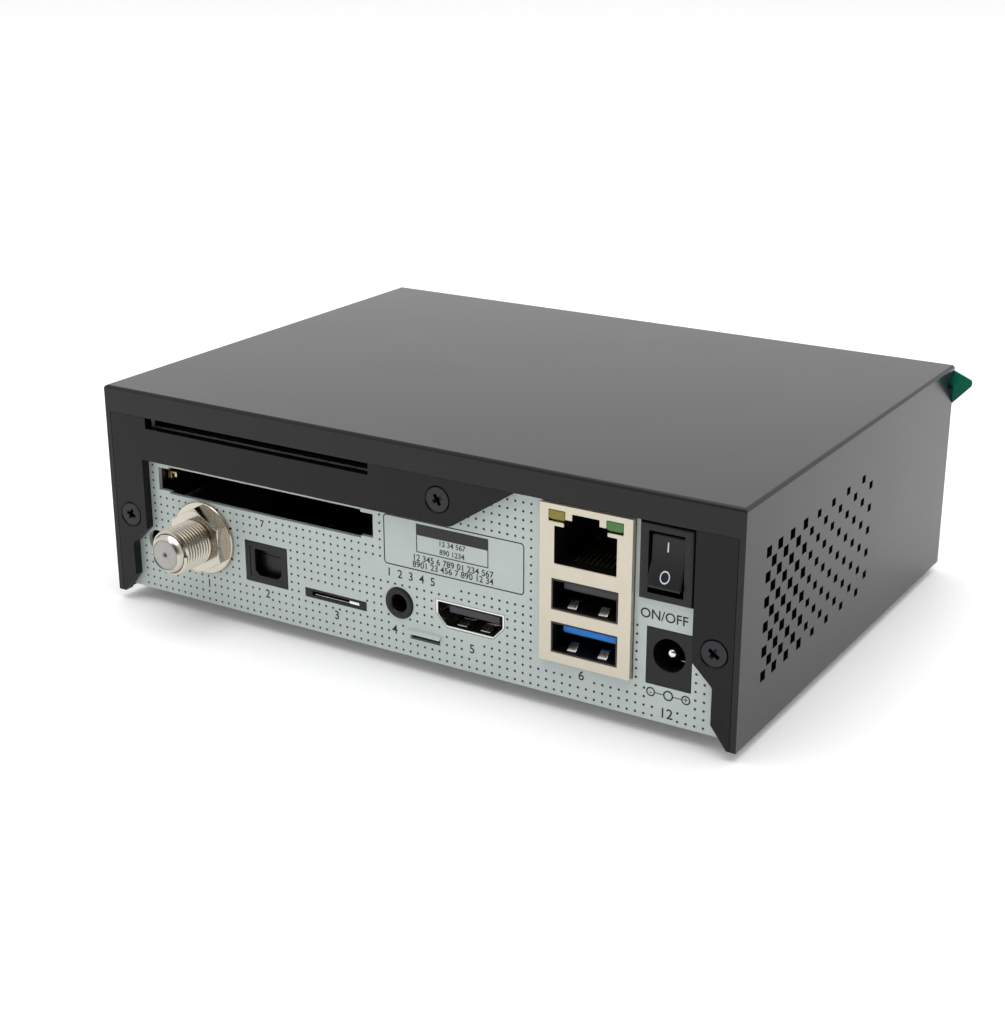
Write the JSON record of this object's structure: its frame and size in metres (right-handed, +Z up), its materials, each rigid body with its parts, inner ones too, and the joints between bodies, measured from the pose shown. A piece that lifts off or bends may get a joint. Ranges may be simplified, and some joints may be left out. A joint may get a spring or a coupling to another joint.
{
  "type": "satellite tv receiver",
  "caption": "Small black steel set-top receiver seen from its socket side: aerial, optical, video, network, data and power sockets, module and card slots, side vents and a rocker switch.",
  "frame": {"origin": "on the surface that the feet stand on, below the middle of the cover's footprint", "axes": "+X to the right when facing the sockets, -Y out of the sockets, +Y towards the front display, +Z up"},
  "size_m": [0.149, 0.1187, 0.0476],
  "materials": {
    "black_cover": "satin black powder coat",
    "black_frame": "satin black",
    "pale_steel": "pale plated steel with printed dots",
    "tray_steel": "plated steel",
    "screw_black": "blackened steel",
    "rubber_black": "soft black rubber",
    "board_green": "green circuit board",
    "nickel": "bright nickel plate",
    "stack_nickel": "warm nickel plate",
    "insulator": "milky insulator",
    "socket_black": "black moulded plastic",
    "tongue_blue": "blue plastic",
    "gold": "gold-plated contact",
    "light_yellow": "yellow light pipe",
    "light_green": "green light pipe",
    "switch_black": "satin black switch plastic",
    "wire_red": "insulated lead",
    "plug_white": "white nylon plug",
    "aluminium_black": "black anodised",
    "chip": "moulded chip",
    "capacitor": "sleeved capacitor",
    "front_black": "glossy black moulding",
    "window_smoke": "smoked window",
    "film_clear": "clear film",
    "film_green": "green film tab",
    "display": "dark display module"
  },
  "bodies": {
    "receiver": {"top_cover": "black_cover", "rear_frame": "black_frame", "cover_screws": "screw_black", "rear_panel": "pale_steel", "base_tray": "tray_steel", "rubber_feet": "rubber_black", "board_posts": "tray_steel", "board_screws": "nickel", "main_board": "board_green", "tuner_can": "nickel", "tuner_barrel": "nickel", "tuner_insulator": "insulator", "tuner_washer": "nickel", "tuner_nut": "nickel", "optical_socket": "socket_black", "memory_card_slot": "nickel", "remote_jack": "socket_black", "video_socket_frame": "nickel", "video_socket_tongue": "socket_black", "network_stack_shield": "stack_nickel", "network_stack_body": "socket_black", "network_contacts": "gold", "port_liners": "stack_nickel", "upper_port_tongue": "socket_black", "lower_port_tongue": "tongue_blue", "link_light": "light_yellow", "activity_light": "light_green", "switch_bezel": "switch_black", "switch_terminals": "nickel", "switch_wires": "wire_red", "switch_plug": "plug_white", "power_inlet": "socket_black", "power_inlet_pin": "nickel", "module_guide": "socket_black", "module_header": "socket_black", "header_pins": "gold", "card_reader": "socket_black", "reader_pins": "gold", "main_processor": "chip", "heatsink": "aluminium_black", "memory_chips": "chip", "capacitors": "capacitor", "power_coils": "chip", "front_fascia": "front_black", "front_window": "window_smoke", "protective_film": "film_clear", "film_pull_tab": "film_green", "tact_switch": "socket_black", "front_board": "board_green", "digit_display": "display", "remote_eye": "chip"},
    "rocker": {"switch_rocker": "switch_black"},
    "shutter": {"optical_shutter": "socket_black"},
    "button": {"power_button": "front_black"}
  },
  "joints": [
    {"name": "rocker_turn", "type": "hinge", "parent": "receiver", "child": "rocker", "pos_m": [0.0574, -0.051, 0.03425], "axis": [1, 0, 0], "range_deg": [0, 22]},
    {"name": "shutter_swing", "type": "hinge", "parent": "receiver", "child": "shutter", "pos_m": [-0.03305, -0.0496, 0.0176], "axis": [1, 0, 0], "range_deg": [0, 85], "stiffness_Nm_per_rad": 0.0002, "springref_deg": -28.65},
    {"name": "button_press", "type": "slide", "parent": "receiver", "child": "button", "axis": [0, -1, 0], "range_m": [0, 0.0006], "stiffness_N_per_m": 300, "springref_m": -0.001}
  ]
}
